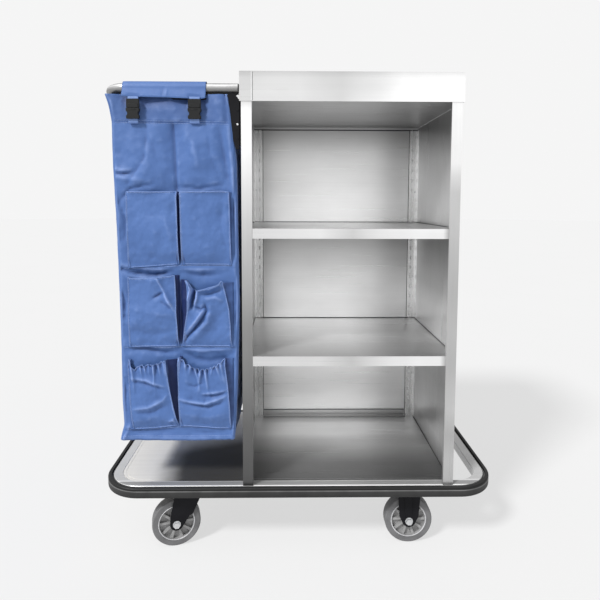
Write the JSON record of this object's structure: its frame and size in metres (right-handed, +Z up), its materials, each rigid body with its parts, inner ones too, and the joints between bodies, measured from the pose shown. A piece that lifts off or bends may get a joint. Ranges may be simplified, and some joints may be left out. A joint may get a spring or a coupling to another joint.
{
  "type": "housekeeping cart",
  "caption": "Steel housekeeping cart: open shelf cabinet, hanging fabric bag with front pockets on a folding tube frame, round-cornered base ring with bumper, swivel and fixed casters.",
  "frame": {"origin": "on the floor under the middle of the bumper ring", "axes": "+X from the bag end to the open end, +Y from the open front to the back, +Z up"},
  "size_m": [1.0286, 0.4986, 1.22],
  "materials": {
    "stainless": "brushed, near mirror on flat sheets",
    "tube_steel": "polished tube",
    "frame_steel": "mill finish",
    "zinc": "bright zinc plate",
    "black_paint": "black satin coat",
    "black_plastic": "moulded",
    "bumper_rubber": "dark grey extrusion",
    "wheel_plastic": "grey moulded core",
    "tyre_rubber": "grey non-marking tread",
    "bag_fabric": "blue coated woven cloth"
  },
  "bodies": {
    "chassis": {"base_frame": "stainless", "cross_rails": "frame_steel", "bag_deck": "stainless", "cabinet_floor": "stainless", "bumper": "bumper_rubber", "left_panel": "stainless", "right_panel": "stainless", "back_panel": "stainless", "back_rail": "stainless", "top_pan": "stainless", "ceiling_panel": "stainless", "upper_shelf": "stainless", "lower_shelf": "stainless", "rear_pilasters": "stainless", "front_pilasters": "stainless", "shelf_clips": "zinc", "cabinet_screws": "zinc", "channel_front": "black_paint", "channel_rear": "black_paint", "fold_pins": "zinc", "bag_front": "bag_fabric", "bag_rear": "bag_fabric", "bag_left": "bag_fabric", "bag_right": "bag_fabric", "bag_bottom": "bag_fabric", "pockets_top": "bag_fabric", "pockets_middle": "bag_fabric", "pockets_bottom": "bag_fabric", "flap_front": "bag_fabric", "flap_rear": "bag_fabric", "strap_tabs": "bag_fabric", "buckle_sockets": "black_plastic", "caster_plates": "zinc", "caster_bolts": "zinc", "fork_fr": "black_paint", "fork_rr": "black_paint", "axle_fr": "zinc", "axle_rr": "zinc"},
    "bag_frame": {"bag_tube": "tube_steel", "tube_plugs": "black_plastic", "arm_front": "black_paint", "arm_rear": "black_paint"},
    "strut_f": {"strut_front": "black_paint"},
    "strut_r": {"strut_rear": "black_paint"},
    "plug_1": {"buckle_plug_1": "black_plastic"},
    "plug_2": {"buckle_plug_2": "black_plastic"},
    "swivel_fl": {"fork_fl": "black_paint", "axle_fl": "zinc"},
    "swivel_rl": {"fork_rl": "black_paint", "axle_rl": "zinc"},
    "wheel_fl": {"core_fl": "wheel_plastic", "tyre_fl": "tyre_rubber"},
    "wheel_rl": {"core_rl": "wheel_plastic", "tyre_rl": "tyre_rubber"},
    "wheel_fr": {"core_fr": "wheel_plastic", "tyre_fr": "tyre_rubber"},
    "wheel_rr": {"core_rr": "wheel_plastic", "tyre_rr": "tyre_rubber"}
  },
  "joints": [
    {"name": "bag_frame_fold", "type": "hinge", "parent": "chassis", "child": "bag_frame", "pos_m": [-0.1525, 0, 1.16], "axis": [0, -1, 0], "range_deg": [0, 90], "deforming": ["bag_front", "bag_rear", "bag_left", "bag_right", "bag_bottom", "pockets_top", "pockets_middle", "pockets_bottom", "flap_front", "flap_rear", "strap_tabs", "buckle_sockets"]},
    {"name": "strut_front_turn", "type": "hinge", "parent": "chassis", "child": "strut_f", "pos_m": [-0.1525, -0.215, 1.098], "axis": [0, -1, 0], "range_deg": [0, 130.8]},
    {"name": "strut_rear_turn", "type": "hinge", "parent": "chassis", "child": "strut_r", "pos_m": [-0.1525, 0.215, 1.098], "axis": [0, -1, 0], "range_deg": [0, 130.8]},
    {"name": "buckle_1_release", "type": "slide", "parent": "chassis", "child": "plug_1", "axis": [0, 0, 1], "range_m": [0, 0.024]},
    {"name": "buckle_2_release", "type": "slide", "parent": "chassis", "child": "plug_2", "axis": [0, 0, 1], "range_m": [0, 0.024]},
    {"name": "swivel_fl_turn", "type": "hinge", "parent": "chassis", "child": "swivel_fl", "pos_m": [-0.291, -0.182, 0.14], "axis": [0, 0, 1], "continuous": true},
    {"name": "swivel_rl_turn", "type": "hinge", "parent": "chassis", "child": "swivel_rl", "pos_m": [-0.291, 0.182, 0.14], "axis": [0, 0, 1], "continuous": true},
    {"name": "wheel_fl_spin", "type": "hinge", "parent": "swivel_fl", "child": "wheel_fl", "pos_m": [-0.32674, -0.19158, 0.0625], "axis": [-0.2588, 0.9659, 0], "continuous": true},
    {"name": "wheel_rl_spin", "type": "hinge", "parent": "swivel_rl", "child": "wheel_rl", "pos_m": [-0.32674, 0.17242, 0.0625], "axis": [-0.2588, 0.9659, 0], "continuous": true},
    {"name": "wheel_fr_spin", "type": "hinge", "parent": "chassis", "child": "wheel_fr", "pos_m": [0.291, -0.182, 0.0625], "axis": [0, 1, 0], "continuous": true},
    {"name": "wheel_rr_spin", "type": "hinge", "parent": "chassis", "child": "wheel_rr", "pos_m": [0.291, 0.182, 0.0625], "axis": [0, 1, 0], "continuous": true}
  ],
  "couplings": [
    {"joint": "strut_front_turn", "follows": "bag_frame_fold", "ratio": 1.4526},
    {"joint": "strut_rear_turn", "follows": "bag_frame_fold", "ratio": 1.4526}
  ]
}
